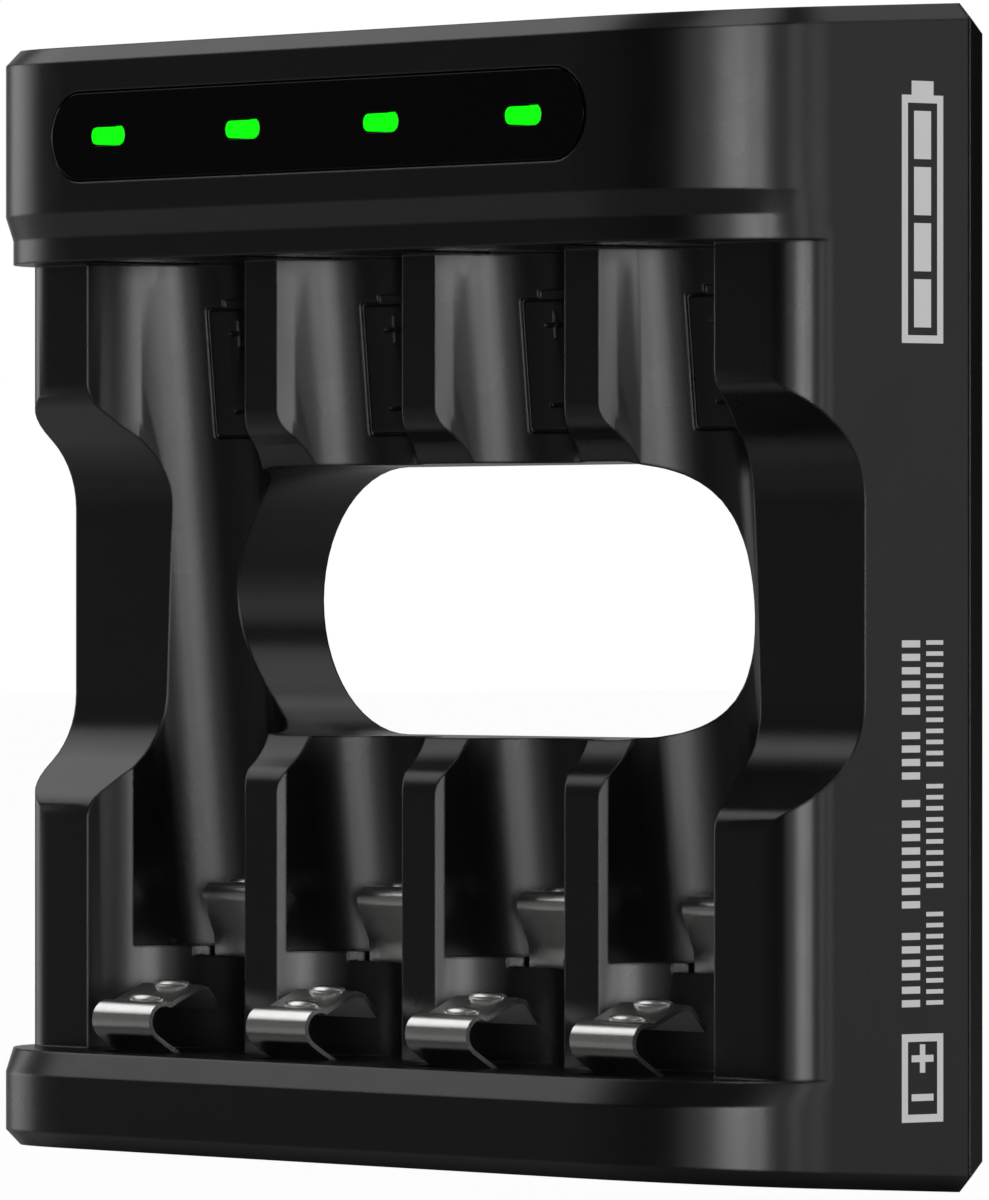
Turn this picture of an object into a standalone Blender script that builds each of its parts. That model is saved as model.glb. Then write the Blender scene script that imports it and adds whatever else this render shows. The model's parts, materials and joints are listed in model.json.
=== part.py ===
"""Four-bay charger for round cells, standing on its lower end with the bays facing -Y.

Sizes are in metres. Every piece hangs on an empty at the middle of the height and on the
plane of the two end bars' front faces, so in the pieces' own coordinates y is the depth
behind that plane and z is the height above the middle.
"""

import math

import bmesh
import bpy
from mathutils import Matrix, Vector

# Outer shell: the front height is that of the two end bars' front faces
FRONT_HEIGHT = 0.0735
DRAFT = 0.05
WALL = 0.0018
SIDE_WALL = 0.00735
REAR_SPACE = 0.0018
END_CHAMFER = 0.0010
BAR_CORNER_WIDTH = 0.0140
BAR_CORNER_DEPTH = 0.0100
CORNER_STEPS = 9

# Waist between the end bars
WAIST_FRONT = 0.0068
WAIST_CORNER_WIDTH = 0.0039
TOP_BAR_HEIGHT = 0.01105
BOTTOM_BAR_HEIGHT = 0.00475
BAR_SLOPE_INSET = 0.0010
BAR_SLOPE_HEIGHT = 0.0016
TOP_BAND_HEIGHT = 0.0016

# Cell bays
BAY_COUNT = 4
BAY_PITCH = 0.0163
AA_RADIUS = 0.0076
AA_AXIS_DEPTH = 0.00525
AAA_RADIUS = 0.0061
AAA_TOP_DEPTH = 0.00745
AAA_LEAN = 0.09
AAA_LEDGE_RISE = 0.0069
DIVIDER_FRONT = 0.0092
BAY_SEGMENTS = 36

# Through-hole and finger scoops
HOLE_OVERRUN = 0.0017
HOLE_HEIGHT = 0.0180
HOLE_DROP = 0.0002
HOLE_WALL = 0.0016
HOLE_STEPS = 28
SCOOP_DEPTH = 0.0123
SCOOP_FLAT = 0.0126
SCOOP_ANGLE = math.radians(50)
SCOOP_FOOT_RADIUS = 0.0060
SCOOP_LIP_RADIUS = 0.0022
DIVIDER_LIP_RADIUS = 0.0023
SCOOP_STEPS = 7

# Indicator window and lamps
WINDOW_OVERRUN = 0.00595
WINDOW_HEIGHT = 0.00575
WINDOW_THICKNESS = 0.0009
WINDOW_DROP = 0.00605
WINDOW_STEPS = 14
LAMP_PITCH = 0.0141
LAMP_WIDTH = 0.0035
LAMP_HEIGHT = 0.00115
LAMP_CORNER = 0.0005
LAMP_BODY_WIDTH = 0.0042
LAMP_BODY_HEIGHT = 0.0024
LAMP_RECESS = 0.00005
LAMP_CLEARANCE = 0.0001

# Rear cover and screws
COVER_THICKNESS = 0.0020
COVER_CHAMFER = 0.0010
COVER_SEAM = 0.0001
SCREW_DROP = 0.0020
SCREW_INSET = 0.0048
SCREW_RADIUS = 0.0011
SCREW_TIP_CLEARANCE = 0.0007
SCREW_HEAD_RADIUS = 0.0019
SCREW_HEAD_HEIGHT = 0.0012
SCREW_CLEARANCE = 0.0003
SCREW_SLOT_DEPTH = 0.0006
BOSS_RADIUS = 0.0026
BOSS_SETBACK = 0.0003

# Boards and what they carry
FIT = 0.0003
BOARD_THICKNESS = 0.0012
MAIN_BOARD_DEPTH = 0.0062
MAIN_BOARD_INSET = 0.0064
CONTACT_BOARD_THICKNESS = 0.0008
CONTACT_BOARD_INSET = 0.0074
CONTACT_BOARD_FRONT = 0.0034
CONTACT_BOARD_BACK = 0.0160
GROOVE_BACK_WALL = 0.00135
FLOOR_WALL = 0.0018
WIRE_RADIUS = 0.0005
WIRE_CLEARANCE = 0.0005
WIRE_BEND = 0.0012
CHIP_SIZE = 0.0060
CHIP_THICKNESS = 0.0010
CHIP_OFFSET = -0.0170
COIL_SIZE = 0.0070
COIL_THICKNESS = 0.0040
COIL_OFFSET = 0.0150
CAPACITOR_RADIUS = 0.0025
CAPACITOR_LENGTH = 0.0055
CAPACITOR_OFFSETS = (-0.0270, 0.0250)

# Charging inlet at the top end
INLET_WIDTH = 0.0089
INLET_DEPTH = 0.0032
INLET_LENGTH = 0.0074
INLET_WALL = 0.0003
INLET_SETBACK = 0.0004
TONGUE_WIDTH = 0.0066
TONGUE_THICKNESS = 0.0007
TONGUE_LENGTH = 0.0050

# Spring contacts at the lower ends of the bays: depths are behind the bars' front plane,
# rises above the bay floor for the wide leaf and above the ledge for the narrow one
LEAF_THICKNESS = 0.0003
AA_LEAF_WIDTH = 0.0061
AA_TRAVEL = 0.0012
AA_NOSE_DEPTH = 0.0051
AA_NOSE_RISE = 0.0021
AA_NOSE_RADIUS = 0.0012
AA_CREST_DEPTH = 0.0082
AA_CREST_RISE = 0.00435
AA_TAIL_REACH = 0.0018
AA_TAIL_RISE = 0.0028
AA_TOUCH_DEPTH = 0.0061
AA_TOUCH_RISE = 0.00344
AA_FOOT_DEPTH = 0.0064
AA_FOLD = (65, 235)
AAA_LEAF_WIDTH = 0.0050
AAA_NOSE_DEPTH = 0.0138
AAA_NOSE_RISE = 0.0034
AAA_NOSE_RADIUS = 0.0008
AAA_TOUCH_DEPTH = 0.0145
AAA_TOUCH_RISE = 0.0042
AAA_TAIL_RISE = 0.0036
AAA_LEG_DEPTH = 0.0141
AAA_LEG_REACH = 0.0030
AAA_FOLD = (80, 200)
NOSE_STEPS = 9
DIMPLE_WIDTH = 0.0035
DIMPLE_DEPTH = 0.0016
DIMPLE_RISE = 0.00035

# Fixed contacts at the upper ends of the bays
PLATE_WIDTH = 0.0070
PLATE_FRONT = 0.0030
PLATE_BACK = 0.0115
PLATE_THICKNESS = 0.0004
PLATE_POCKET = 0.0008
TAB_WIDTH = 0.0020
TAB_RISE = 0.0012

# Polarity marks engraved in the bay floors
MARK_WIDTH = 0.0052
MARK_HEIGHT = 0.0088
MARK_LINE = 0.0002
MARK_DEPTH = 0.0002
MARK_DROP = 0.0073
MARK_CAP = 0.0006
MARK_SIGN = 0.0018
MARK_SPREAD = 0.0026

# Sizes that follow from the ones above
OUTER_BAY = BAY_PITCH * (BAY_COUNT - 1) / 2
FRONT_WIDTH = 2 * (OUTER_BAY + AA_RADIUS + SIDE_WALL)
TOP_BAR_UNDER = FRONT_HEIGHT / 2 - TOP_BAR_HEIGHT
BAY_TOP = TOP_BAR_UNDER - BAR_SLOPE_HEIGHT - TOP_BAND_HEIGHT
BOTTOM_BAR_TOP = -FRONT_HEIGHT / 2 + BOTTOM_BAR_HEIGHT
BAY_BOTTOM = BOTTOM_BAR_TOP + BAR_SLOPE_HEIGHT
LEDGE = BAY_BOTTOM + AAA_LEDGE_RISE
AAA_LEDGE_DEPTH = AAA_TOP_DEPTH + AAA_LEAN * (BAY_TOP - LEDGE)
REAR_CHAMBER_FRONT = AAA_LEDGE_DEPTH + AAA_RADIUS + GROOVE_BACK_WALL
DEPTH = REAR_CHAMBER_FRONT + REAR_SPACE + COVER_THICKNESS
SHELL_DEPTH = DEPTH - COVER_THICKNESS
BACK_HEIGHT = FRONT_HEIGHT + 2 * DRAFT * (SHELL_DEPTH + COVER_SEAM)
CHAMBER_FLOOR = -FRONT_HEIGHT / 2 + WALL
CHAMBER_CEILING = FRONT_HEIGHT / 2 - WALL
CONTACT_BOARD_TOP = CHAMBER_FLOOR + FIT + CONTACT_BOARD_THICKNESS
HOLE_LENGTH = 2 * (OUTER_BAY + HOLE_OVERRUN)
CHANNEL_FRONT = SCOOP_DEPTH + WALL
CHANNEL_INNER = OUTER_BAY + AAA_RADIUS + GROOVE_BACK_WALL
WINDOW_LENGTH = LAMP_PITCH * (BAY_COUNT - 1) + 2 * WINDOW_OVERRUN
WINDOW_RISE = FRONT_HEIGHT / 2 - WINDOW_DROP
SCREW_RISE = BAY_TOP - SCREW_DROP
SCREW_SPREAD = FRONT_WIDTH - 2 * SCREW_INSET
MAIN_BOARD_WIDTH = FRONT_WIDTH - 2 * MAIN_BOARD_INSET
CONTACT_BOARD_WIDTH = FRONT_WIDTH - 2 * CONTACT_BOARD_INSET
WIRE_SPREAD = HOLE_LENGTH + 2 * (HOLE_WALL + WIRE_CLEARANCE + WIRE_RADIUS)
MARK_RISE = BAY_TOP - MARK_DROP
BEYOND = 0.0040

BLACK_PLASTIC = ("black_plastic", (0.012, 0.012, 0.013), 0.42, 0.0)
BLACK_GLOSS = ("black_gloss", (0.004, 0.004, 0.005), 0.08, 0.0)
LAMP_GREEN = ("lamp_green", (0.0, 0.85, 0.05), 0.3, 0.0)
BOARD_GREEN = ("board_green", (0.02, 0.12, 0.05), 0.5, 0.0)
NICKEL = ("nickel", (0.80, 0.80, 0.78), 0.22, 1.0)
CHIP_BLACK = ("chip_black", (0.02, 0.02, 0.02), 0.6, 0.0)
WIRE_RED = ("wire_red", (0.45, 0.02, 0.02), 0.45, 0.0)
SCREW_STEEL = ("screw_steel", (0.55, 0.55, 0.57), 0.3, 1.0)

# Local axes (x, y, z) of a flat outline laid square to each world axis
FACINGS = {
    "X": Matrix(((0, 0, 1), (1, 0, 0), (0, 1, 0))),
    "Y": Matrix(((1, 0, 0), (0, 0, -1), (0, 1, 0))),
    "Z": Matrix.Identity(3),
}


def clear_scene():
    for item in list(bpy.data.objects):
        bpy.data.objects.remove(item, do_unlink=True)


def new_collection(name):
    collection = bpy.data.collections.new(name)
    bpy.context.scene.collection.children.link(collection)
    return collection


def material(spec):
    name, colour, roughness, metallic = spec
    found = bpy.data.materials.get(name)
    if found:
        return found
    made = bpy.data.materials.new(name)
    made.use_nodes = True
    shader = made.node_tree.nodes["Principled BSDF"]
    shader.inputs["Base Color"].default_value = (*colour, 1)
    shader.inputs["Roughness"].default_value = roughness
    shader.inputs["Metallic"].default_value = metallic
    made.diffuse_color = (*colour, 1)
    return made


def place(obj, finish=None):
    """Puts a new object on the datum: a piece where it has a finish, else a hidden cutter."""
    obj.parent = datum
    if finish is None:
        cutters.objects.link(obj)
        obj.hide_render = True
        obj.display_type = "WIRE"
    else:
        pieces.objects.link(obj)
        obj.data.materials.append(material(finish))
        obj.data.shade_smooth()
        obj.data.set_sharp_from_angle(angle=math.radians(30))
    return obj


def from_bmesh(name, bm, finish=None):
    bmesh.ops.recalc_face_normals(bm, faces=bm.faces)
    mesh = bpy.data.meshes.new(name)
    bm.to_mesh(mesh)
    bm.free()
    return place(bpy.data.objects.new(name, mesh), finish)


def block(name, low, high, finish=None):
    bm = bmesh.new()
    low, high = Vector(low), Vector(high)
    size = Matrix.Diagonal((*(high - low), 1))
    bmesh.ops.create_cube(bm, size=1, matrix=Matrix.Translation((low + high) / 2) @ size)
    return from_bmesh(name, bm, finish)


def rod(name, centre, radius, length, facing, finish=None, segments=16):
    """A round rod with its middle at centre."""
    bm = bmesh.new()
    turn = FACINGS[facing].to_4x4()
    bmesh.ops.create_cone(
        bm,
        cap_ends=True,
        segments=segments,
        radius1=radius,
        radius2=radius,
        depth=length,
        matrix=Matrix.Translation(centre) @ turn,
    )
    return from_bmesh(name, bm, finish)


def slab(name, outline, centre, thickness, facing, finish=None):
    """A flat outline, given about its own centre, made solid on both sides of centre."""
    curve = bpy.data.curves.new(name, "CURVE")
    curve.dimensions = "2D"
    curve.fill_mode = "BOTH"
    curve.extrude = thickness / 2
    spline = curve.splines.new("POLY")
    spline.points.add(len(outline) - 1)
    for point, (u, v) in zip(spline.points, outline):
        point.co = (u, v, 0, 1)
    spline.use_cyclic_u = True
    guide = bpy.data.objects.new(name, curve)
    mesh = bpy.data.meshes.new_from_object(guide)
    bpy.data.objects.remove(guide)
    bm = bmesh.new()
    bm.from_mesh(mesh)
    bpy.data.meshes.remove(mesh)
    bmesh.ops.remove_doubles(bm, verts=bm.verts, dist=1e-7)
    bmesh.ops.transform(
        bm, matrix=Matrix.Translation(centre) @ FACINGS[facing].to_4x4(), verts=bm.verts
    )
    return from_bmesh(name, bm, finish)


def loft(name, rings, finish=None):
    """A closed solid through rings of the same number of points."""
    bm = bmesh.new()
    loops = [[bm.verts.new(point) for point in ring] for ring in rings]
    for lower, upper in zip(loops, loops[1:]):
        for i, corner in enumerate(lower):
            j = (i + 1) % len(lower)
            bm.faces.new((corner, lower[j], upper[j], upper[i]))
    bm.faces.new(reversed(loops[0]))
    bm.faces.new(loops[-1])
    return from_bmesh(name, bm, finish)


def boolean(target, tool, operation="DIFFERENCE"):
    step = target.modifiers.new(f"{operation.lower()}_{tool.name}", "BOOLEAN")
    step.operation = operation
    step.solver = "EXACT"
    step.object = tool


def arc(centre, radii, start, end, steps):
    """Points on an ellipse's arc, angles in degrees."""
    angles = [math.radians(start + (end - start) * i / steps) for i in range(steps + 1)]
    return [
        (centre[0] + radii[0] * math.cos(a), centre[1] + radii[1] * math.sin(a)) for a in angles
    ]


def rounded_rectangle(width, height, corner, steps=3):
    points = []
    for turn, (sx, sy) in enumerate(((1, 1), (-1, 1), (-1, -1), (1, -1))):
        centre = (sx * (width / 2 - corner), sy * (height / 2 - corner))
        points += arc(centre, (corner, corner), turn * 90, turn * 90 + 90, steps)
    return points


def stadium(length, height, steps):
    """A slot outline with half-round ends."""
    reach = (length - height) / 2
    radius = height / 2
    right = arc((reach, 0), (radius, radius), -90, 90, steps)
    left = arc((-reach, 0), (radius, radius), 90, 270, steps)
    return right + left


def half_width(depth):
    return FRONT_WIDTH / 2 + DRAFT * depth


def plan_outline(front, corner_width, corner_depth, inset, back):
    """The shell's section seen from above: straight front, elliptical corners, leaning sides."""
    tangent = front + corner_depth
    side = half_width(tangent)
    radii = (corner_width - inset, corner_depth - inset)
    right = arc((side - corner_width, tangent), radii, -90, 0, CORNER_STEPS)
    right.append((half_width(back) - inset, back))
    left = [(-x, y) for x, y in reversed(right)]
    return right + left


def bar_outline(inset=0.0, back=SHELL_DEPTH):
    return plan_outline(0, BAR_CORNER_WIDTH, BAR_CORNER_DEPTH, inset, back)


def band_outline():
    """The bars' section where their inner edges step back, fading out at the sides."""
    corner_depth = BAR_CORNER_DEPTH - BAR_SLOPE_INSET
    return plan_outline(BAR_SLOPE_INSET, BAR_CORNER_WIDTH, corner_depth, 0, SHELL_DEPTH)


def waist_outline():
    corner_depth = BAR_CORNER_DEPTH - WAIST_FRONT
    return plan_outline(WAIST_FRONT, WAIST_CORNER_WIDTH, corner_depth, 0, SHELL_DEPTH)


def ring(outline, height):
    return [(x, y, height) for x, y in outline]


def leaning_ring(outline, side, setback=0.0):
    """A ring on the top (side 1) or bottom (side -1) end, which leans out with the depth."""
    return [(x, y, side * (FRONT_HEIGHT / 2 + DRAFT * y - setback)) for x, y in outline]


def shell_body():
    """The outer form: two bars joined by the waist, from the bottom end up."""
    return loft(
        "front_housing",
        [
            leaning_ring(bar_outline(END_CHAMFER), -1),
            leaning_ring(bar_outline(), -1, END_CHAMFER),
            ring(bar_outline(), BOTTOM_BAR_TOP),
            ring(band_outline(), BAY_BOTTOM),
            ring(waist_outline(), BAY_BOTTOM),
            ring(waist_outline(), BAY_TOP),
            ring(band_outline(), BAY_TOP),
            ring(band_outline(), TOP_BAR_UNDER - BAR_SLOPE_HEIGHT),
            ring(bar_outline(), TOP_BAR_UNDER),
            leaning_ring(bar_outline(), 1, END_CHAMFER),
            leaning_ring(bar_outline(END_CHAMFER), 1),
        ],
        BLACK_PLASTIC,
    )


def bay_centres():
    return [BAY_PITCH * (i - (BAY_COUNT - 1) / 2) for i in range(BAY_COUNT)]


def chamber(name, low, high):
    inner = bar_outline(WALL, SHELL_DEPTH + BEYOND)
    return loft(name, [ring(inner, low), ring(inner, high)])


def hollow(shell):
    """The spaces behind the walls, all open at the back."""
    back = SHELL_DEPTH + BEYOND
    bottom = CHAMBER_FLOOR + FLOOR_WALL / 2
    boolean(shell, chamber("top_chamber", BAY_TOP + FLOOR_WALL, CHAMBER_CEILING))
    boolean(shell, chamber("bottom_chamber", CHAMBER_FLOOR, BAY_BOTTOM - FLOOR_WALL))
    reach = half_width(CHANNEL_FRONT) - WALL
    low = (-reach, REAR_CHAMBER_FRONT, bottom)
    boolean(shell, block("rear_chamber", low, (reach, back, -bottom)))
    for side in (-1, 1):
        inner, outer = side * CHANNEL_INNER, side * (half_width(CHANNEL_FRONT) - WALL)
        low = (min(inner, outer), CHANNEL_FRONT, bottom + WALL)
        high = (max(inner, outer), back, -bottom - WALL)
        boolean(shell, block(f"side_channel_{side}", low, high))


def screw_places():
    return [
        (sx * SCREW_SPREAD / 2, sz * SCREW_RISE)
        for sz in (1, -1)
        for sx in (-1, 1)
    ]


def pilot_floor():
    """The depth of the bottom of the screws' pilot holes in their bosses."""
    return CHANNEL_FRONT + WALL / 2


def inner_walls(shell):
    """The tube round the through-hole, out to the back face, and the screw bosses inside."""
    front = AA_AXIS_DEPTH + AA_RADIUS
    outline = stadium(HOLE_LENGTH + 2 * HOLE_WALL, HOLE_HEIGHT + 2 * HOLE_WALL, HOLE_STEPS)
    centre = (0, (front + DEPTH) / 2, -HOLE_DROP)
    boolean(shell, slab("hole_tube", outline, centre, DEPTH - front, "Y"), "UNION")
    start = CHANNEL_FRONT - WALL / 2
    back = SHELL_DEPTH - BOSS_SETBACK
    for number, (x, z) in enumerate(screw_places(), 1):
        centre = (x, (start + back) / 2, z)
        boss = rod(f"boss_{number}", centre, BOSS_RADIUS, back - start, "Y")
        boolean(shell, boss, "UNION")
        centre = (x, (pilot_floor() + back + BEYOND) / 2, z)
        pilot = SCREW_RADIUS + SCREW_CLEARANCE / 2
        length = back + BEYOND - pilot_floor()
        boolean(shell, rod(f"pilot_{number}", centre, pilot, length, "Y", segments=12))


def aaa_axis(height):
    """The depth of a thin cell's axis, which leans back from the top of the bay to the ledge."""
    return AAA_TOP_DEPTH + AAA_LEAN * (BAY_TOP - height)


def aaa_groove(name, x, low, high, deeper=0.0):
    """The narrow groove for the thinner cells: round at the back, with straight sides."""
    reach = AAA_RADIUS + deeper
    rings = []
    for height in (low, high):
        floor = arc((x, aaa_axis(height)), (reach, reach), 0, 180, BAY_SEGMENTS // 2)
        sides = [(x - reach, AA_AXIS_DEPTH), (x + reach, AA_AXIS_DEPTH)]
        rings.append(ring(floor + sides, height))
    return loft(name, rings)


def cut_bays(shell):
    outer = bay_centres()[-1]
    low = (-outer, -BEYOND, BAY_BOTTOM)
    boolean(shell, block("bay_front", low, (outer, DIVIDER_FRONT, BAY_TOP)))
    middle, height = (BAY_TOP + BAY_BOTTOM) / 2, BAY_TOP - BAY_BOTTOM
    for number, x in enumerate(bay_centres(), 1):
        centre = (x, AA_AXIS_DEPTH, middle)
        name = f"aa_groove_{number}"
        boolean(shell, rod(name, centre, AA_RADIUS, height, "Z", segments=BAY_SEGMENTS))
        boolean(shell, aaa_groove(f"aaa_groove_{number}", x, LEDGE, BAY_TOP))


def scoop_outline(front, lip_radius):
    """Half of the S-shaped finger scoop in (depth, height), mirrored about the middle."""
    turn = 1 - math.cos(SCOOP_ANGLE)
    drop = SCOOP_DEPTH - front - (SCOOP_FOOT_RADIUS + lip_radius) * turn
    foot_end = SCOOP_FLAT / 2 + SCOOP_FOOT_RADIUS * math.sin(SCOOP_ANGLE)
    lip = foot_end + drop / math.tan(SCOOP_ANGLE) + lip_radius * math.sin(SCOOP_ANGLE)
    angle = math.degrees(SCOOP_ANGLE)
    radius = (SCOOP_FOOT_RADIUS, SCOOP_FOOT_RADIUS)
    foot = arc((SCOOP_DEPTH - SCOOP_FOOT_RADIUS, SCOOP_FLAT / 2), radius, 0, angle, SCOOP_STEPS)
    radius = (lip_radius, lip_radius)
    edge = arc((front + lip_radius, lip), radius, 180 + angle, 180, SCOOP_STEPS)
    upper = foot + edge + [(-BEYOND, lip)]
    return upper + [(y, -z) for y, z in reversed(upper)]


def cut_scoops(shell):
    """The scoops through the side walls and dividers, and the hole through to the back."""
    inner = bay_centres()[-1]
    outer = half_width(DEPTH) + BEYOND
    outline = scoop_outline(DIVIDER_FRONT, DIVIDER_LIP_RADIUS)
    boolean(shell, slab("divider_scoop", outline, (0, 0, -HOLE_DROP), 2 * inner, "X"))
    outline = scoop_outline(WAIST_FRONT, SCOOP_LIP_RADIUS)
    for side in (-1, 1):
        centre = (side * (inner + outer) / 2, 0, -HOLE_DROP)
        boolean(shell, slab(f"side_scoop_{side}", outline, centre, outer - inner, "X"))
    outline = stadium(HOLE_LENGTH, HOLE_HEIGHT, HOLE_STEPS)
    length = DEPTH + 2 * BEYOND
    boolean(shell, slab("hole", outline, (0, DEPTH / 2, -HOLE_DROP), length, "Y"))


def lamp_centres():
    return [LAMP_PITCH * (i - (BAY_COUNT - 1) / 2) for i in range(BAY_COUNT)]


def lamp_opening(name, clearance, x, front, back):
    outline = rounded_rectangle(
        LAMP_WIDTH + 2 * clearance, LAMP_HEIGHT + 2 * clearance, LAMP_CORNER + clearance
    )
    return slab(name, outline, (x, (front + back) / 2, WINDOW_RISE), back - front, "Y")


def cut_window(shell):
    pocket = WINDOW_THICKNESS + FIT / 2
    outline = stadium(WINDOW_LENGTH + FIT, WINDOW_HEIGHT + FIT, WINDOW_STEPS)
    centre = (0, (pocket - BEYOND) / 2, WINDOW_RISE)
    boolean(shell, slab("window_pocket", outline, centre, pocket + BEYOND, "Y"))
    for number, x in enumerate(lamp_centres(), 1):
        name = f"lamp_hole_{number}"
        boolean(shell, lamp_opening(name, FIT / 2, x, WINDOW_THICKNESS / 2, WALL + FIT))


def led_window():
    outline = stadium(WINDOW_LENGTH, WINDOW_HEIGHT, WINDOW_STEPS)
    centre = (0, WINDOW_THICKNESS / 2, WINDOW_RISE)
    window = slab("led_window", outline, centre, WINDOW_THICKNESS, "Y", BLACK_GLOSS)
    for number, x in enumerate(lamp_centres(), 1):
        name = f"window_hole_{number}"
        boolean(window, lamp_opening(name, LAMP_CLEARANCE, x, -BEYOND, BEYOND))


def lamps():
    """Each lamp: a light pipe that shows in the window, on a body that sits on the board."""
    body_front = WALL + FIT
    for number, x in enumerate(lamp_centres(), 1):
        outline = rounded_rectangle(LAMP_WIDTH, LAMP_HEIGHT, LAMP_CORNER)
        length = body_front + FIT - LAMP_RECESS
        centre = (x, LAMP_RECESS + length / 2, WINDOW_RISE)
        lamp = slab(f"status_lamp_{number}", outline, centre, length, "Y", LAMP_GREEN)
        low = (x - LAMP_BODY_WIDTH / 2, body_front, WINDOW_RISE - LAMP_BODY_HEIGHT / 2)
        high = (x + LAMP_BODY_WIDTH / 2, MAIN_BOARD_DEPTH - FIT, WINDOW_RISE + LAMP_BODY_HEIGHT / 2)
        boolean(lamp, block(f"lamp_body_{number}", low, high), "UNION")


def inlet_depth():
    return board_back() + INLET_DEPTH / 2


def inlet_top():
    return FRONT_HEIGHT / 2 + DRAFT * inlet_depth() - INLET_SETBACK


def cut_inlet(shell):
    width, depth = INLET_WIDTH + 2 * FIT, INLET_DEPTH + 2 * FIT
    outline = rounded_rectangle(width, depth, depth / 2 - FIT)
    centre = (0, inlet_depth(), FRONT_HEIGHT / 2)
    boolean(shell, slab("inlet_opening", outline, centre, 2 * BEYOND, "Z"))


def charging_inlet():
    """The metal shell of the inlet, open at the top end, and the tongue inside it."""
    top, depth = inlet_top(), inlet_depth()
    corner = INLET_DEPTH / 2 - FIT
    outline = rounded_rectangle(INLET_WIDTH, INLET_DEPTH, corner)
    centre = (0, depth, top - INLET_LENGTH / 2)
    shell = slab("inlet_shell", outline, centre, INLET_LENGTH, "Z", NICKEL)
    width, height = INLET_WIDTH - 2 * INLET_WALL, INLET_DEPTH - 2 * INLET_WALL
    outline = rounded_rectangle(width, height, corner - INLET_WALL)
    centre = (0, depth, top + INLET_WALL)
    boolean(shell, slab("inlet_mouth", outline, centre, 2 * INLET_LENGTH - FIT, "Z"))
    floor = top - INLET_LENGTH + FIT / 2 + INLET_WALL
    low = (-TONGUE_WIDTH / 2, depth - TONGUE_THICKNESS / 2, floor + FIT)
    high = (TONGUE_WIDTH / 2, depth + TONGUE_THICKNESS / 2, floor + FIT + TONGUE_LENGTH)
    block("inlet_tongue", low, high, CHIP_BLACK)


def rear_cover():
    """The plate that closes the back, with bevelled edges, the hole and the screw seats."""

    def cover_ring(depth, inset):
        x, z = half_width(depth) - inset, FRONT_HEIGHT / 2 + DRAFT * depth - inset
        corners = []
        for sx, sz in ((1, -1), (1, 1), (-1, 1), (-1, -1)):
            pair = [(sx * x, depth, sz * (z - END_CHAMFER)), (sx * (x - END_CHAMFER), depth, sz * z)]
            corners += pair if sx * sz > 0 else reversed(pair)
        return corners

    front = SHELL_DEPTH + COVER_SEAM
    cover = loft(
        "rear_cover", [cover_ring(front, 0), cover_ring(DEPTH, COVER_CHAMFER)], BLACK_PLASTIC
    )
    rim = 2 * (HOLE_WALL + COVER_SEAM)
    outline = stadium(HOLE_LENGTH + rim, HOLE_HEIGHT + rim, HOLE_STEPS)
    centre = (0, DEPTH, -HOLE_DROP)
    boolean(cover, slab("cover_hole", outline, centre, 2 * BEYOND, "Y"))
    for number, (x, z) in enumerate(screw_places(), 1):
        shank = SCREW_RADIUS + SCREW_CLEARANCE
        hole = rod(f"cover_bore_{number}", (x, DEPTH, z), shank, 2 * BEYOND, "Y", segments=12)
        boolean(cover, hole)
        seat = DEPTH - SCREW_HEAD_HEIGHT - SCREW_CLEARANCE
        centre = (x, seat + BEYOND / 2, z)
        radius = SCREW_HEAD_RADIUS + SCREW_CLEARANCE
        boolean(cover, rod(f"cover_seat_{number}", centre, radius, BEYOND, "Y"))


def case_screws():
    top = DEPTH - SCREW_CLEARANCE / 2
    under = top - SCREW_HEAD_HEIGHT + SCREW_CLEARANCE / 2
    tip = pilot_floor() + SCREW_TIP_CLEARANCE
    length = under + FIT - tip
    for number, (x, z) in enumerate(screw_places(), 1):
        centre = (x, (top + under) / 2, z)
        screw = rod(
            f"case_screw_{number}", centre, SCREW_HEAD_RADIUS, top - under, "Y", SCREW_STEEL
        )
        centre = (x, tip + length / 2, z)
        shank = rod(f"shank_{number}", centre, SCREW_RADIUS, length, "Y", segments=12)
        boolean(screw, shank, "UNION")
        arm = SCREW_HEAD_RADIUS / 2
        width = SCREW_SLOT_DEPTH / 2
        for name, (across, along) in (("a", (arm, width)), ("b", (width, arm))):
            low = (x - across, top - SCREW_SLOT_DEPTH, z - along)
            cross = block(f"cross_{name}_{number}", low, (x + across, top + FIT, z + along))
            boolean(screw, cross)


def boards():
    """The main board behind the window and the contact board under the bays."""
    low = (-MAIN_BOARD_WIDTH / 2, MAIN_BOARD_DEPTH, BAY_TOP + FLOOR_WALL + FIT)
    high = (MAIN_BOARD_WIDTH / 2, MAIN_BOARD_DEPTH + BOARD_THICKNESS, CHAMBER_CEILING - FIT)
    block("main_board", low, high, BOARD_GREEN)
    low = (-CONTACT_BOARD_WIDTH / 2, CONTACT_BOARD_FRONT, CHAMBER_FLOOR + FIT)
    high = (CONTACT_BOARD_WIDTH / 2, CONTACT_BOARD_BACK, CONTACT_BOARD_TOP)
    block("contact_board", low, high, BOARD_GREEN)


def board_back():
    """The depth at which things stand on the back of the main board."""
    return MAIN_BOARD_DEPTH + BOARD_THICKNESS + FIT


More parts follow.
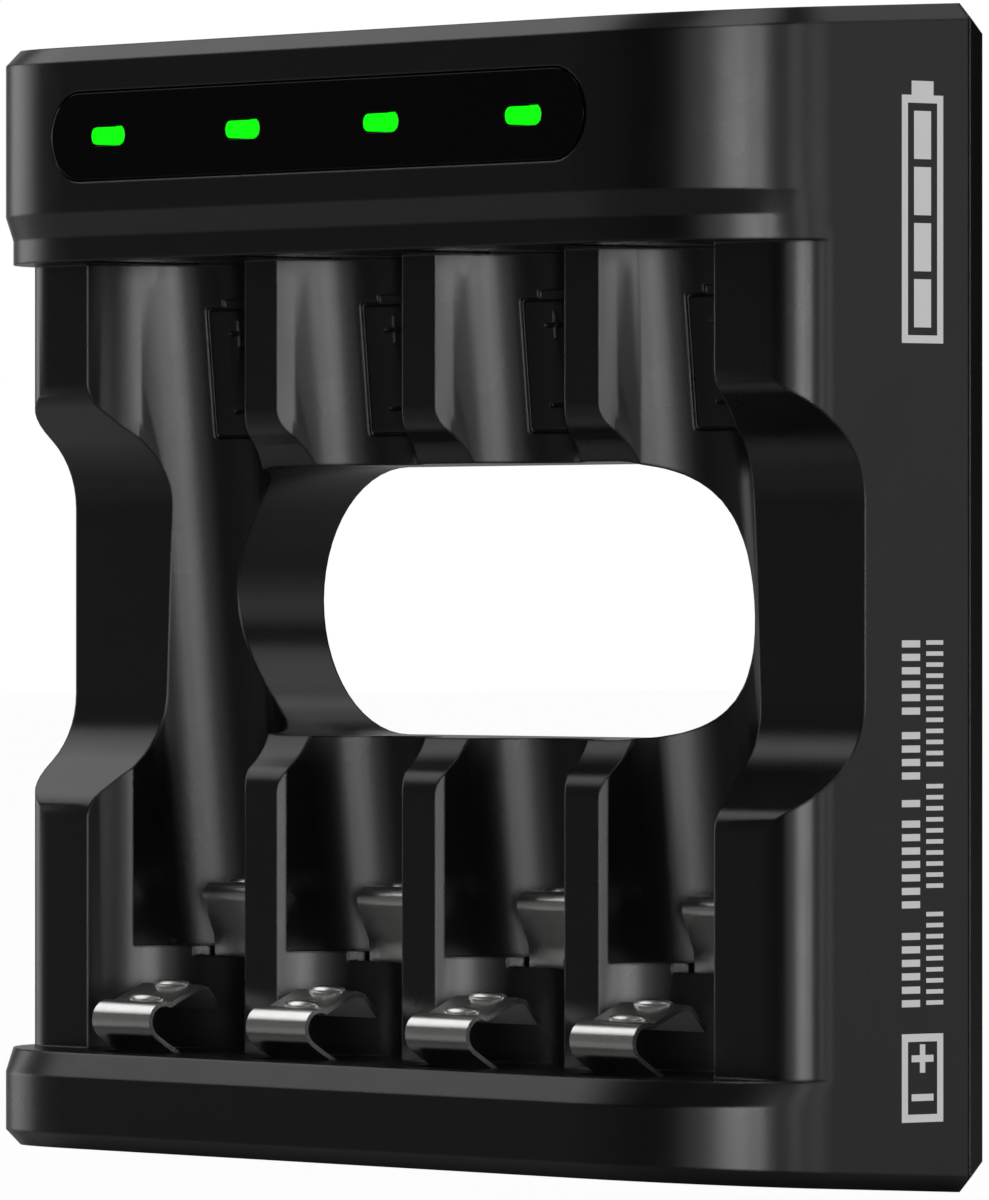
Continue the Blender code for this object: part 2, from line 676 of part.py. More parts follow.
def board_parts():
    """What sits on the back of the main board: the controller, the coil and two capacitors."""
    face = board_back()
    middle = (BAY_TOP + FLOOR_WALL + CHAMBER_CEILING) / 2
    for name, spot, size, thickness in (
        ("charge_controller", CHIP_OFFSET, CHIP_SIZE, CHIP_THICKNESS),
        ("power_coil", COIL_OFFSET, COIL_SIZE, COIL_THICKNESS),
    ):
        low = (spot - size / 2, face, middle - size / 2)
        block(name, low, (spot + size / 2, face + thickness, middle + size / 2), CHIP_BLACK)
    for number, x in enumerate(CAPACITOR_OFFSETS, 1):
        centre = (x, face + CAPACITOR_LENGTH / 2, middle)
        rod(f"capacitor_{number}", centre, CAPACITOR_RADIUS, CAPACITOR_LENGTH, "Y", NICKEL)


def link_wires():
    """A wire down each side, between the hole's tube and the screw bosses, from board to board."""
    start = board_back()
    high = BAY_TOP + FLOOR_WALL + WIRE_BEND
    low = CONTACT_BOARD_TOP + FIT + WIRE_RADIUS
    run = REAR_CHAMBER_FRONT + (SHELL_DEPTH - REAR_CHAMBER_FRONT) / 2
    end = CONTACT_BOARD_BACK - WIRE_BEND
    corners = (
        arc((run - WIRE_BEND, high - WIRE_BEND), (WIRE_BEND, WIRE_BEND), 90, 0, 5)
        + arc((run - WIRE_BEND, low + WIRE_BEND), (WIRE_BEND, WIRE_BEND), 0, -90, 5)
    )
    for name, side in (("left", -1), ("right", 1)):
        curve = bpy.data.curves.new(f"link_wire_{name}", "CURVE")
        curve.dimensions = "3D"
        curve.bevel_depth = WIRE_RADIUS
        curve.bevel_resolution = 1
        curve.use_fill_caps = True
        spline = curve.splines.new("POLY")
        route = [(start, high), *corners, (end, low)]
        spline.points.add(len(route) - 1)
        for point, (depth, height) in zip(spline.points, route):
            point.co = (side * WIRE_SPREAD / 2, depth, height, 1)
        wire = bpy.data.objects.new(f"link_wire_{name}", curve)
        curve.materials.append(material(WIRE_RED))
        wire.parent = datum
        pieces.objects.link(wire)


def positive_contacts(shell):
    """The fixed contact plates in pockets in the underside of the top bar.

    A tab on each goes up through a slot, just behind the main board.
    """
    depth = board_back()
    for number, x in enumerate(bay_centres(), 1):
        half = PLATE_WIDTH / 2
        low = (x - half - FIT, PLATE_FRONT - FIT, BAY_TOP - FIT)
        high = (x + half + FIT, PLATE_BACK + FIT, BAY_TOP + PLATE_POCKET)
        boolean(shell, block(f"plate_pocket_{number}", low, high))
        low = (x - half, PLATE_FRONT, BAY_TOP + PLATE_POCKET - FIT - PLATE_THICKNESS)
        high = (x + half, PLATE_BACK, BAY_TOP + PLATE_POCKET - FIT)
        plate = block(f"positive_contact_{number}", low, high, NICKEL)
        half = TAB_WIDTH / 2
        low = (x - half, depth, BAY_TOP + PLATE_POCKET - FIT - PLATE_THICKNESS / 2)
        high = (x + half, depth + PLATE_THICKNESS, BAY_TOP + FLOOR_WALL + TAB_RISE)
        boolean(plate, block(f"plate_tab_{number}", low, high), "UNION")
        low = (x - half - FIT, depth - FIT, BAY_TOP)
        high = (x + half + FIT, depth + PLATE_THICKNESS + FIT, BAY_TOP + FLOOR_WALL + FIT)
        boolean(shell, block(f"plate_slot_{number}", low, high))


def leaf(name, path, width, x, dimples):
    """A folded spring strip: its path in (depth, height) drawn out to its width, then thickened."""
    bm = bmesh.new()
    edge = [bm.verts.new((x - width / 2, y, z)) for y, z in path]
    line = [bm.edges.new(pair) for pair in zip(edge, edge[1:])]
    drawn = bmesh.ops.extrude_edge_only(bm, edges=line)["geom"]
    moved = [item for item in drawn if isinstance(item, bmesh.types.BMVert)]
    bmesh.ops.translate(bm, vec=(width, 0, 0), verts=moved)
    strip = from_bmesh(name, bm, NICKEL)
    thick = strip.modifiers.new("thickness", "SOLIDIFY")
    thick.thickness = LEAF_THICKNESS
    thick.offset = 0
    thick.use_even_offset = True
    for number, (y, z) in enumerate(dimples, 1):
        bm = bmesh.new()
        size = Matrix.Diagonal((DIMPLE_WIDTH, DIMPLE_DEPTH, 2 * DIMPLE_RISE, 1))
        spot = Matrix.Translation((x, y, z + LEAF_THICKNESS / 2)) @ size
        bmesh.ops.create_uvsphere(bm, u_segments=10, v_segments=6, radius=0.5, matrix=spot)
        boolean(strip, from_bmesh(f"{name}_dimple_{number}", bm), "UNION")
    return strip


def groove_wall(axis_depth, radius, leaf_width):
    """How deep the middle of a leaf may reach before its edges near the groove's wall."""
    wall = axis_depth + math.sqrt(radius**2 - (leaf_width / 2) ** 2)
    return wall - FIT - LEAF_THICKNESS / 2


def aa_leaf_path():
    """From the free end at the back over the crest and nose, down into the floor slot."""
    radii = (AA_NOSE_RADIUS, AA_NOSE_RADIUS)
    fold = arc((AA_NOSE_DEPTH, AA_NOSE_RISE), radii, *AA_FOLD, NOSE_STEPS)
    foot_end = CONTACT_BOARD_TOP + FIT + AA_TRAVEL - BAY_BOTTOM
    path = [
        (AA_CREST_DEPTH + AA_TAIL_REACH, AA_TAIL_RISE),
        (AA_CREST_DEPTH + AA_TAIL_REACH / 3, AA_CREST_RISE - LEAF_THICKNESS / 2),
        (AA_CREST_DEPTH, AA_CREST_RISE),
        (AA_TOUCH_DEPTH, AA_TOUCH_RISE),
        *fold,
        (AA_FOOT_DEPTH - AA_NOSE_RADIUS, 2 * LEAF_THICKNESS),
        (AA_FOOT_DEPTH - LEAF_THICKNESS / 2, 0),
        (AA_FOOT_DEPTH, -LEAF_THICKNESS),
        (AA_FOOT_DEPTH, foot_end),
    ]
    return [(y, BAY_BOTTOM + rise) for y, rise in path]


def aaa_leaf_path():
    """The same fold, smaller and deeper, standing in the slot behind the ledge."""
    tail = groove_wall(aaa_axis(LEDGE + AAA_TOUCH_RISE), AAA_RADIUS, AAA_LEAF_WIDTH)
    radii = (AAA_NOSE_RADIUS, AAA_NOSE_RADIUS)
    fold = arc((AAA_NOSE_DEPTH, AAA_NOSE_RISE), radii, *AAA_FOLD, NOSE_STEPS)
    path = [
        (tail, AAA_TAIL_RISE),
        ((tail + AAA_TOUCH_DEPTH) / 2, AAA_TOUCH_RISE - LEAF_THICKNESS / 2),
        (AAA_TOUCH_DEPTH, AAA_TOUCH_RISE),
        *fold,
        (AAA_LEG_DEPTH - LEAF_THICKNESS / 3, AAA_NOSE_RADIUS),
        (AAA_LEG_DEPTH, -LEAF_THICKNESS),
        (AAA_LEG_DEPTH, -AAA_LEG_REACH),
    ]
    return [(y, LEDGE + rise) for y, rise in path]


def spring_contacts(shell):
    """Two sprung leaves at the foot of each bay, and the slots that they dip into."""
    side = LEAF_THICKNESS / 2 + FIT
    under = BAY_BOTTOM - FLOOR_WALL - FIT
    aa_dimples = (
        (AA_TOUCH_DEPTH, BAY_BOTTOM + AA_TOUCH_RISE),
        (AA_CREST_DEPTH, BAY_BOTTOM + AA_CREST_RISE),
    )
    aaa_dimples = ((AAA_TOUCH_DEPTH, LEDGE + AAA_TOUCH_RISE),)
    notch = LEDGE - LEAF_THICKNESS - FIT
    for number, x in enumerate(bay_centres(), 1):
        leaf(f"aa_spring_contact_{number}", aa_leaf_path(), AA_LEAF_WIDTH, x, aa_dimples)
        leaf(f"aaa_spring_contact_{number}", aaa_leaf_path(), AAA_LEAF_WIDTH, x, aaa_dimples)
        half = AA_LEAF_WIDTH / 2 + FIT
        low = (x - half, AA_NOSE_DEPTH - AA_NOSE_RADIUS, under)
        high = (x + half, AA_FOOT_DEPTH + side, BAY_BOTTOM + FIT)
        boolean(shell, block(f"floor_slot_{number}", low, high))
        half = AAA_LEAF_WIDTH / 2 + FIT
        low = (x - half, AAA_LEG_DEPTH - 2 * side, under)
        high = (x + half, AAA_LEG_DEPTH + 2 * side, LEDGE + FIT)
        boolean(shell, block(f"ledge_slot_{number}", low, high))
        low = (x - half, AA_AXIS_DEPTH, notch)
        boolean(shell, block(f"ledge_notch_{number}", low, (x + half, AAA_LEG_DEPTH, LEDGE + FIT)))


def engrave_marks(shell):
    """A cell outline with a plus and a minus, engraved in the floor of each bay."""
    floor = aaa_axis(MARK_RISE) + AAA_RADIUS
    line = MARK_LINE / 2
    signs = (
        ((MARK_WIDTH / 4, MARK_CAP / 2), MARK_HEIGHT / 2 + MARK_CAP / 3),
        ((MARK_SIGN / 2, line), MARK_SPREAD),
        ((line, MARK_SIGN / 2), MARK_SPREAD),
        ((MARK_SIGN / 2, line), -MARK_SPREAD),
    )
    for number, x in enumerate(bay_centres(), 1):
        centre = (x, floor, MARK_RISE)
        frame = rounded_rectangle(MARK_WIDTH, MARK_HEIGHT, MARK_LINE, 2)
        mark = slab(f"mark_{number}", frame, centre, BEYOND, "Y")
        width, height = MARK_WIDTH - 2 * MARK_LINE, MARK_HEIGHT - 2 * MARK_LINE
        inner = rounded_rectangle(width, height, MARK_LINE / 2, 2)
        boolean(mark, slab(f"mark_inner_{number}", inner, centre, 2 * BEYOND, "Y"))
        for order, ((across, along), up) in enumerate(signs, 1):
            low = (x - across, floor - BEYOND / 3, MARK_RISE + up - along)
            high = (x + across, floor + BEYOND / 3, MARK_RISE + up + along)
            boolean(mark, block(f"mark_sign_{number}_{order}", low, high), "UNION")
        low, high = MARK_RISE - MARK_HEIGHT, MARK_RISE + MARK_HEIGHT
        limit = aaa_groove(f"mark_depth_{number}", x, low, high, MARK_DEPTH)
        boolean(mark, limit, "INTERSECT")
        boolean(shell, mark)


clear_scene()
pieces = new_collection("battery_charger")
cutters = new_collection("cutters")
datum = bpy.data.objects.new("front_plane_datum", None)
datum.location = (0, -DEPTH / 2, BACK_HEIGHT / 2)
pieces.objects.link(datum)

housing = shell_body()
hollow(housing)
inner_walls(housing)
cut_bays(housing)
cut_scoops(housing)
cut_window(housing)
cut_inlet(housing)
positive_contacts(housing)
spring_contacts(housing)
engrave_marks(housing)
led_window()
lamps()
charging_inlet()
rear_cover()
case_screws()
boards()
board_parts()
link_wires()
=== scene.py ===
"""Looks of the four-bay charger: finishes, softened edges, printed marks, light and camera."""

import json
import math

import bmesh
import bpy
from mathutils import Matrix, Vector


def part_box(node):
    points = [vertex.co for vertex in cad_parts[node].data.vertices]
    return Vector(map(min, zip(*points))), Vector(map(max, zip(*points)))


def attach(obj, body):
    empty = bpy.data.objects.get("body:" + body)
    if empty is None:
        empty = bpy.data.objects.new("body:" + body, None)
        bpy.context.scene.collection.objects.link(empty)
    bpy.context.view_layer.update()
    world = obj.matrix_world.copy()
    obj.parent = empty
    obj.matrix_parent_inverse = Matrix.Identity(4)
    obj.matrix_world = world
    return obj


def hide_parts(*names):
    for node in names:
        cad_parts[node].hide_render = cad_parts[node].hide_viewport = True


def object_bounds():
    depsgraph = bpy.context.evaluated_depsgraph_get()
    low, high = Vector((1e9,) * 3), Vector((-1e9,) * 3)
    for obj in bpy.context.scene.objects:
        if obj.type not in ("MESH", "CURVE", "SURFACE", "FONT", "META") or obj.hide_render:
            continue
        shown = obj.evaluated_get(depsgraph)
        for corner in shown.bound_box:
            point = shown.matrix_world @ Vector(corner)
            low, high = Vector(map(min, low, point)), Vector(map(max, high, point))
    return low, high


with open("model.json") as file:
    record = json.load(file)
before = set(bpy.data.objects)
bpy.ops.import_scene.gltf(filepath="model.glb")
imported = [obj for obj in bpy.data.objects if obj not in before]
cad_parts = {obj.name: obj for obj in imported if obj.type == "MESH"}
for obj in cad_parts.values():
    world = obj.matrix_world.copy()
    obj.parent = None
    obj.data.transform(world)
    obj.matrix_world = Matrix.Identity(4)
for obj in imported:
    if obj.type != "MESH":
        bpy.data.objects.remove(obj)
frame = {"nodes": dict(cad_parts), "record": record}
cad_low, cad_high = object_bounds()
nodes = frame["nodes"]

# Places taken from the frame, in metres
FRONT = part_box("front_housing")[0].y
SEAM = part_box("rear_cover")[0].y
MIDDLE = (cad_low.z + cad_high.z) / 2
DRAFT = 0.05
FRONT_HALF_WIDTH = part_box("rear_cover")[1].x - DRAFT * (SEAM - FRONT)

# Skins: points this close are joined, faces within the flat angle merge, edges below the smooth
# angle shade smooth, and the bars' level edges stay sharp from the band angle; in degrees
JOIN_DISTANCE = 2e-6
FLAT_ANGLE = 0.4
SMOOTH_ANGLE = 30
LEAF_SMOOTH_ANGLE = 35
BAND_ANGLE = 3
LEVEL_RISE = 1e-6
SLANT_SHARE = 30

# Surface texture: noise detail, and how much coarser the slow changes are than the grain
GRAIN_DETAIL = 3.0
CLOUD_DETAIL = 2.0
ROUGHNESS_COARSER = 40
TINT_COARSER = 3
ROUNDING_SAMPLES = 6
GRAIN_DEPTH = 0.00001

# Printed marks on the right side: depths behind the front faces and heights above the middle
PRINT_LIFT = 0.00001
PRINT_NEAR = 0.0153
PRINT_FAR = 0.0187
PRINT_STROKE = 0.0005
# Painted light: the strength of the white glow that the print gives off by itself, no lamp, to brighten the
# marks
PRINT_PAINTED_LIGHT = 0.27
CELL_MARK = (0.0161, 0.0327)
CELL_CAP = 0.0009
CELL_BARS = 4
BOLD_WORDS = ((-0.0027, 0.0050), (-0.0085, 0.0036), (-0.0128, 0.0006), (-0.0141, 0.0063), (-0.0212, 0.0053))
BOLD_WIDTH = 0.0015
BOLD_PITCH = 0.00085
BOLD_THICKNESS = 0.00045
FINE_WORDS = ((-0.0027, 0.0083), (-0.0118, 0.0073), (-0.0199, 0.0066))
FINE_WIDTH = 0.0014
FINE_PITCH = 0.00070
FINE_THICKNESS = 0.00028
SIGN_BOX = (-0.0332, -0.0276)
SIGN_ARM = 0.0009
SIGN_HALF_STROKE = 0.00022
PLUS_PLACE = 0.72
MINUS_PLACE = 0.28

# Camera, as in the photograph
VIEW_AZIMUTH = math.radians(49.5)
VIEW_DISTANCE = 0.727
VIEW_ACROSS = 0.01845
VIEW_DROP = 0.00015
LENS_MM = 342
SENSOR_MM = 36
NEAREST = 0.01
FARTHEST = 10

# Studio: how far the lights stand, and the faint light from everywhere else
LIGHT_DISTANCE = 1.2
WORLD_FILL = 0.016

# White ground: how much of what the camera sees of it is plain white, and its own finish
FLOOR_REACH = 3.0
FLOOR_WHITENESS = 0.975
FLOOR_GLOW = 0.02
FLOOR_GREY = 0.36
FLOOR_ROUGHNESS = 0.15


def new_object(name, mesh):
    obj = bpy.data.objects.new(name, mesh)
    bpy.context.scene.collection.objects.link(obj)
    return obj


def node_material(name):
    """A material with an empty node tree but for its Principled shader and output."""
    made = bpy.data.materials.new(name)
    made.use_nodes = True
    return made, made.node_tree, made.node_tree.nodes["Principled BSDF"]


def add_node(tree, kind, **settings):
    made = tree.nodes.new(kind)
    for key, value in settings.items():
        if key in made.inputs:
            made.inputs[key].default_value = value
        else:
            setattr(made, key, value)
    return made


def grain(tree, shader, scale, strength, roughness, depth=GRAIN_DEPTH, rounding=0.0):
    """Fine moulded texture: noise in object space as bump, and a slow change of roughness."""
    spot = add_node(tree, "ShaderNodeTexCoord")
    fine = add_node(tree, "ShaderNodeTexNoise", Scale=scale, Detail=GRAIN_DETAIL)
    tree.links.new(spot.outputs["Object"], fine.inputs["Vector"])
    bump = add_node(tree, "ShaderNodeBump", Strength=strength, Distance=depth)
    tree.links.new(fine.outputs["Fac"], bump.inputs["Height"])
    if rounding:
        edges = add_node(tree, "ShaderNodeBevel", samples=ROUNDING_SAMPLES, Radius=rounding)
        tree.links.new(edges.outputs["Normal"], bump.inputs["Normal"])
    tree.links.new(bump.outputs["Normal"], shader.inputs["Normal"])
    slow = add_node(tree, "ShaderNodeTexNoise", Scale=scale / ROUGHNESS_COARSER, Detail=CLOUD_DETAIL)
    tree.links.new(spot.outputs["Object"], slow.inputs["Vector"])
    spread = add_node(tree, "ShaderNodeMapRange")
    spread.inputs["To Min"].default_value = roughness[0]
    spread.inputs["To Max"].default_value = roughness[1]
    tree.links.new(slow.outputs["Fac"], spread.inputs["Value"])
    tree.links.new(spread.outputs["Result"], shader.inputs["Roughness"])
    return spot


def tinted(tree, shader, spot, dark, light, scale):
    """A slight change of colour over the surface."""
    cloud = add_node(tree, "ShaderNodeTexNoise", Scale=scale, Detail=CLOUD_DETAIL)
    tree.links.new(spot.outputs["Object"], cloud.inputs["Vector"])
    mix = add_node(tree, "ShaderNodeMix", data_type="RGBA")
    colours = [s for s in mix.inputs if s.type == "RGBA"]
    colours[0].default_value = (*dark, 1)
    colours[1].default_value = (*light, 1)
    tree.links.new(cloud.outputs["Fac"], mix.inputs["Factor"])
    result = [s for s in mix.outputs if s.type == "RGBA"][0]
    tree.links.new(result, shader.inputs["Base Color"])


def black_plastic():
    made, tree, shader = node_material("moulded_black")
    spot = grain(tree, shader, scale=9000, strength=0.05, roughness=(0.25, 0.31), rounding=0.00025)
    dark, light = (0.0022, 0.0022, 0.0024), (0.0036, 0.0036, 0.0039)
    tinted(tree, shader, spot, dark, light, scale=300)
    return made


def gloss_black():
    made, tree, shader = node_material("polished_black")
    spot = grain(tree, shader, scale=700, strength=0.02, roughness=(0.05, 0.09), rounding=0.0001)
    dark, light = (0.0012, 0.0012, 0.0013), (0.0018, 0.0018, 0.0019)
    tinted(tree, shader, spot, dark, light, scale=200)
    shader.inputs["Specular IOR Level"].default_value = 0.12
    return made


def print_grey_painted_light():
    made, tree, shader = node_material("pad_print_painted_light")
    spot = grain(tree, shader, scale=9000, strength=0.05, roughness=(0.5, 0.6))
    tinted(tree, shader, spot, (0.42, 0.42, 0.42), (0.48, 0.48, 0.48), scale=400)
    # The white emission is painted light: the grey print glows by itself so that it shows brighter than its
    # lighting makes it
    shader.inputs["Emission Color"].default_value = (1.0, 1.0, 1.0, 1)
    shader.inputs["Emission Strength"].default_value = PRINT_PAINTED_LIGHT
    return made


def lit_green():
    """Lamps that the camera sees lit, and that light nothing else."""
    made, tree, shader = node_material("lit_green")
    spot = grain(tree, shader, scale=2500, strength=0.03, roughness=(0.25, 0.35))
    tinted(tree, shader, spot, (0.0, 0.05, 0.0), (0.0, 0.06, 0.0), scale=900)
    shader.inputs["Emission Color"].default_value = (0.0, 1.0, 0.0, 1)
    path = add_node(tree, "ShaderNodeLightPath")
    tree.links.new(path.outputs["Is Camera Ray"], shader.inputs["Emission Strength"])
    return made


def metal(name, dark, light, roughness, brushing=0.05):
    made, tree, shader = node_material(name)
    spot = grain(tree, shader, scale=3500, strength=brushing, roughness=roughness)
    tinted(tree, shader, spot, dark, light, scale=900)
    shader.inputs["Metallic"].default_value = 1.0
    return made


def dull(name, dark, light, roughness, scale=1500):
    made, tree, shader = node_material(name)
    spot = grain(tree, shader, scale, strength=0.1, roughness=roughness, depth=2 * GRAIN_DEPTH)
    tinted(tree, shader, spot, dark, light, scale / TINT_COARSER)
    return made


FINISHES = {
    "black_plastic": black_plastic(),
    "window_gloss": gloss_black(),
    "lamp_green": lit_green(),
    "nickel_plate": metal("bright_nickel", (0.74, 0.74, 0.72), (0.84, 0.84, 0.82), (0.23, 0.31)),
    "screw_steel": metal("zinc_steel", (0.45, 0.46, 0.48), (0.6, 0.6, 0.62), (0.25, 0.4), 0.2),
    "bare_metal": metal("can_metal", (0.6, 0.6, 0.62), (0.72, 0.72, 0.74), (0.2, 0.35)),
    "circuit_board": dull("solder_mask", (0.002, 0.006, 0.003), (0.004, 0.010, 0.005), (0.35, 0.5)),
    "chip": dull("moulded_epoxy", (0.015, 0.015, 0.016), (0.03, 0.03, 0.03), (0.5, 0.7)),
    "wire_sleeve": dull("red_sleeve", (0.35, 0.01, 0.01), (0.5, 0.02, 0.02), (0.35, 0.5)),
}


def dress_nodes():
    """Every node of the frame gets the finish that its slot names."""
    for entry in frame["record"]["subparts"]:
        mesh = nodes[entry["node"]].data
        mesh.materials.clear()
        mesh.materials.append(FINISHES[entry["material_slot"]])


def stays_sharp(edge, limit, bars):
    """Edges of more than the limit, and the bars' level edges as they run round the corners."""
    angle = edge.calc_face_angle(math.pi)
    run = edge.verts[1].co - edge.verts[0].co
    slanting = min(abs(run.x), abs(run.y)) > run.length / SLANT_SHARE
    level = bars and abs(run.z) < LEVEL_RISE and slanting
    return angle >= math.radians(BAND_ANGLE if level else limit)


def smooth_skin(node, sharp=SMOOTH_ANGLE, body="housing"):
    """A piece that stands for a node: the same faces, joined and shaded smooth."""
    source = nodes[node]
    bm = bmesh.new()
    bm.from_mesh(source.data)
    bmesh.ops.remove_doubles(bm, verts=bm.verts, dist=JOIN_DISTANCE)
    bmesh.ops.dissolve_limit(
        bm, angle_limit=math.radians(FLAT_ANGLE), verts=bm.verts, edges=bm.edges, delimit=set()
    )
    for face in bm.faces:
        face.smooth = True
    for edge in bm.edges:
        edge.smooth = not stays_sharp(edge, sharp, node == "front_housing")
    mesh = bpy.data.meshes.new(f"{node}_skin")
    bm.to_mesh(mesh)
    bm.free()
    if "custom_normal" in mesh.attributes:
        mesh.attributes.remove(mesh.attributes["custom_normal"])
    mesh.materials.append(source.data.materials[0])
    piece = new_object(f"{node}_skin", mesh)
    flat = piece.modifiers.new("flat_faces", "WEIGHTED_NORMAL")
    flat.keep_sharp = True
    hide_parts(node)
    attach(piece, body)


def side_marks():
    """Plain printed marks on the right side: a cell, two columns of strokes and a sign box."""
    bm = bmesh.new()
    stroke = PRINT_STROKE
    middle = (PRINT_NEAR + PRINT_FAR) / 2

    def patch(depths, heights):
        points = []
        for i, j in ((0, 0), (1, 0), (1, 1), (0, 1)):
            x = FRONT_HALF_WIDTH + DRAFT * depths[i] + PRINT_LIFT
            points.append(bm.verts.new((x, FRONT + depths[i], MIDDLE + heights[j])))
        bm.faces.new(points)

    def outline(low, high):
        near, far = PRINT_NEAR, PRINT_FAR
        patch((near, far), (low, low + stroke))
        patch((near, far), (high - stroke, high))
        patch((near, near + stroke), (low + stroke, high - stroke))
        patch((far - stroke, far), (low + stroke, high - stroke))

    def cell():
        low, high = CELL_MARK
        outline(low, high - CELL_CAP)
        patch((middle - CELL_CAP, middle + CELL_CAP), (high - CELL_CAP, high))
        span = (high - CELL_CAP - low - 3 * stroke) / CELL_BARS
        for i in range(CELL_BARS):
            start = low + 2 * stroke + span * i
            patch((PRINT_NEAR + 2 * stroke, PRINT_FAR - 2 * stroke), (start, start + span - stroke))

    def strokes(words, near, far, pitch, thickness):
        for top, length in words:
            for i in range(max(1, round(length / pitch))):
                start = top - i * pitch
                patch((near, far), (start - thickness, start))

    def signs():
        low, high = SIGN_BOX
        outline(low, high)
        arm, half = SIGN_ARM, SIGN_HALF_STROKE
        plus = low + (high - low) * PLUS_PLACE
        minus = low + (high - low) * MINUS_PLACE
        patch((middle - arm, middle + arm), (plus - half, plus + half))
        patch((middle - half, middle + half), (plus + half, plus + arm))
        patch((middle - half, middle + half), (plus - arm, plus - half))
        patch((middle - arm, middle + arm), (minus - half, minus + half))

    cell()
    strokes(BOLD_WORDS, PRINT_NEAR, PRINT_NEAR + BOLD_WIDTH, BOLD_PITCH, BOLD_THICKNESS)
    strokes(FINE_WORDS, PRINT_FAR - FINE_WIDTH, PRINT_FAR, FINE_PITCH, FINE_THICKNESS)
    signs()
    mesh = bpy.data.meshes.new("side_marks")
    bm.to_mesh(mesh)
    bm.free()
    # The marks are real print, with painted light added: their material glows by itself
    mesh.materials.append(print_grey_painted_light())
    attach(new_object("side_marks", mesh), "housing")


def make_camera():
    data = bpy.data.cameras.new("camera")
    data.lens = LENS_MM
    data.sensor_width = SENSOR_MM
    data.clip_start = NEAREST
    data.clip_end = FARTHEST
    camera = bpy.data.objects.new("camera", data)
    bpy.context.scene.collection.objects.link(camera)
    aim = Vector((VIEW_ACROSS, FRONT, MIDDLE - VIEW_DROP))
    back = Vector((math.sin(VIEW_AZIMUTH), -math.cos(VIEW_AZIMUTH), 0))
    camera.location = aim + back * VIEW_DISTANCE
    camera.rotation_euler = (math.pi / 2, 0, VIEW_AZIMUTH)
    bpy.context.scene.camera = camera


def softbox(name, azimuth, elevation, size, level):
    """A rectangular light facing the object; level is the radiance that a mirror would show."""
    data = bpy.data.lights.new(name, "AREA")
    data.shape = "RECTANGLE"
    data.size, data.size_y = size
    data.energy = level * math.pi * size[0] * size[1]
    light = bpy.data.objects.new(name, data)
    bpy.context.scene.collection.objects.link(light)
    a, e = math.radians(azimuth), math.radians(elevation)
    away = Vector((math.sin(a) * math.cos(e), -math.cos(a) * math.cos(e), math.sin(e)))
    light.location = Vector((0, 0, MIDDLE)) + away * LIGHT_DISTANCE
    light.rotation_euler = away.to_track_quat("Z", "Y").to_euler()
    light.visible_camera = False


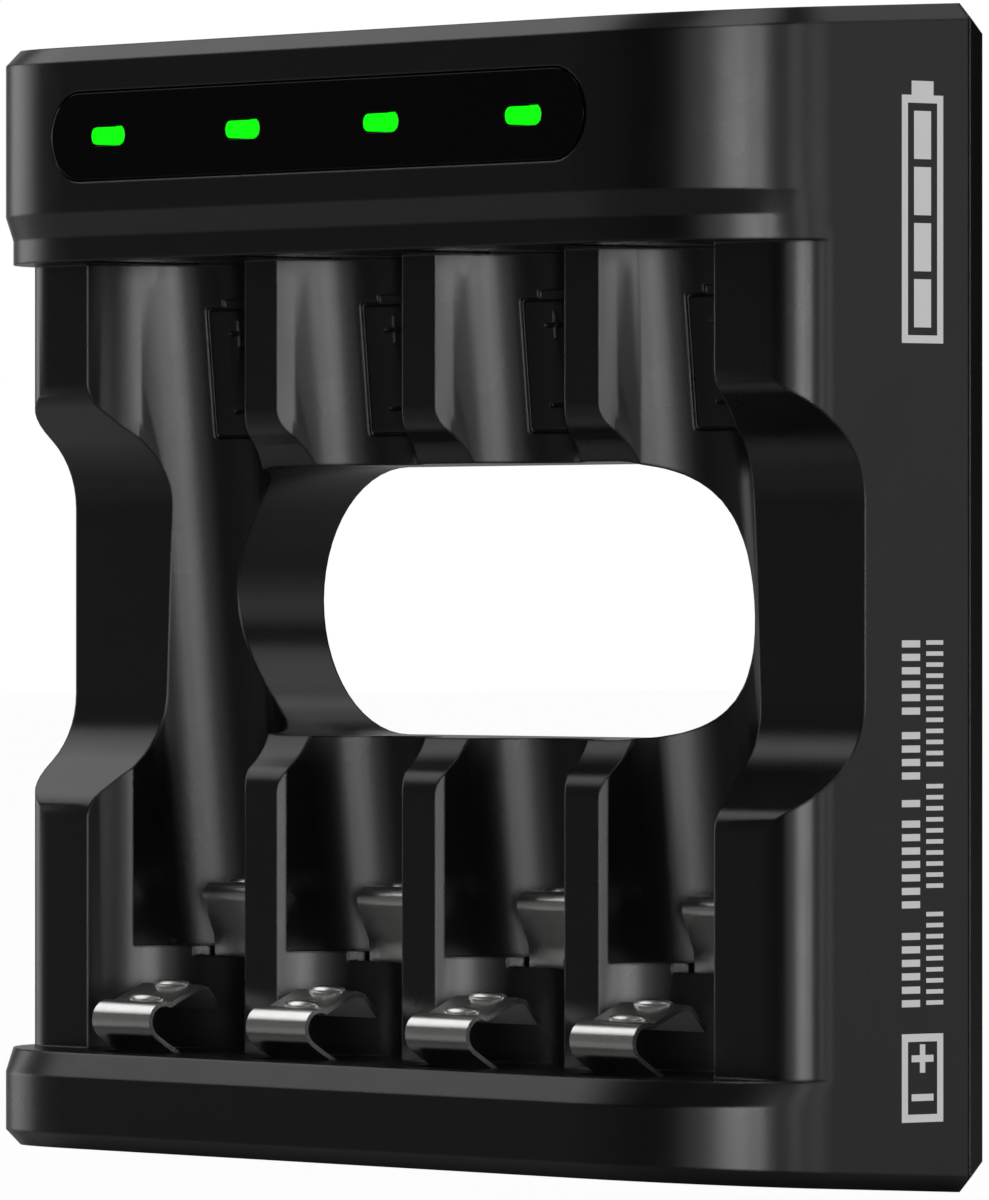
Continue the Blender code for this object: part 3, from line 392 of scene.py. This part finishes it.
def light_scene():
    """Low lights round the front and sides, wide ones above, and a white world for the camera."""
    softbox("key_near", 34, 2, (0.17, 0.16), 9.5)
    softbox("key", 44, 2, (0.16, 0.16), 13.0)
    softbox("key_low", 56, 2, (0.16, 0.16), 11.0)
    softbox("right_near", 68, 4, (0.25, 0.26), 0.8)
    softbox("right", 86, 4, (0.3, 0.26), 2.1)
    softbox("right_far", 107, 4, (0.4, 0.26), 1.6)
    softbox("right_back", 131, 5, (0.5, 0.4), 0.72)
    softbox("front", 20, 4, (0.4, 0.26), 1.3)
    softbox("front_left", -42, 8, (1.0, 0.5), 0.08)
    softbox("left", -88, 5, (0.5, 0.4), 1.3)
    softbox("left_back", -125, 5, (0.5, 0.6), 0.4)
    softbox("upper_right", 130, 45, (0.9, 0.6), 1.1)
    softbox("upper_left", -80, 40, (0.9, 0.6), 1.2)
    softbox("upper_back", -140, 50, (0.9, 0.6), 0.4)
    softbox("behind", 180, 50, (0.6, 0.6), 0.6)
    softbox("top_near", 32, 62, (0.5, 0.4), 4.5)
    softbox("top", 0, 86, (0.5, 0.5), 2.0)
    world = bpy.data.worlds.new("studio")
    bpy.context.scene.world = world
    world.use_nodes = True
    tree = world.node_tree
    tree.nodes.clear()
    path = add_node(tree, "ShaderNodeLightPath")
    shown = add_node(tree, "ShaderNodeBackground", Color=(1, 1, 1, 1), Strength=1.0)
    fill = add_node(tree, "ShaderNodeBackground", Color=(1, 1, 1, 1), Strength=WORLD_FILL)
    mix = add_node(tree, "ShaderNodeMixShader")
    out = add_node(tree, "ShaderNodeOutputWorld")
    tree.links.new(path.outputs["Is Camera Ray"], mix.inputs["Fac"])
    tree.links.new(fill.outputs[0], mix.inputs[1])
    tree.links.new(shown.outputs[0], mix.inputs[2])
    tree.links.new(mix.outputs[0], out.inputs[0])


def make_floor():
    """A pale ground that the camera sees almost plain white, with a trace of the shadow."""
    bm = bmesh.new()
    bmesh.ops.create_grid(bm, x_segments=1, y_segments=1, size=FLOOR_REACH)
    mesh = bpy.data.meshes.new("floor")
    bm.to_mesh(mesh)
    bm.free()
    floor = new_object("floor", mesh)
    floor.location.z = cad_low.z
    made, tree, shader = node_material("pale_floor")
    shader.inputs["Base Color"].default_value = (FLOOR_GREY, FLOOR_GREY, FLOOR_GREY, 1)
    shader.inputs["Roughness"].default_value = FLOOR_ROUGHNESS
    shader.inputs["Emission Color"].default_value = (1, 1, 1, 1)
    shader.inputs["Emission Strength"].default_value = FLOOR_GLOW
    white = add_node(tree, "ShaderNodeEmission", Strength=1.0)
    path = add_node(tree, "ShaderNodeLightPath")
    part = add_node(tree, "ShaderNodeMath", operation="MULTIPLY")
    part.inputs[1].default_value = FLOOR_WHITENESS
    mix = add_node(tree, "ShaderNodeMixShader")
    out = tree.nodes["Material Output"]
    tree.links.new(path.outputs["Is Camera Ray"], part.inputs[0])
    tree.links.new(part.outputs[0], mix.inputs["Fac"])
    tree.links.new(shader.outputs[0], mix.inputs[1])
    tree.links.new(white.outputs[0], mix.inputs[2])
    tree.links.new(mix.outputs[0], out.inputs["Surface"])
    mesh.materials.append(made)


make_camera()
light_scene()
make_floor()
dress_nodes()
for node in ("front_housing", "rear_cover", "led_window", "inlet_shell"):
    smooth_skin(node)
for number in range(1, 5):
    smooth_skin(f"status_lamp_{number}")
    smooth_skin(f"case_screw_{number}")
    smooth_skin(f"aa_spring_contact_{number}", LEAF_SMOOTH_ANGLE, f"aa_spring_{number}")
    smooth_skin(f"aaa_spring_contact_{number}", LEAF_SMOOTH_ANGLE, f"aaa_spring_{number}")
side_marks()

bpy.context.scene.view_settings.view_transform = "Standard"
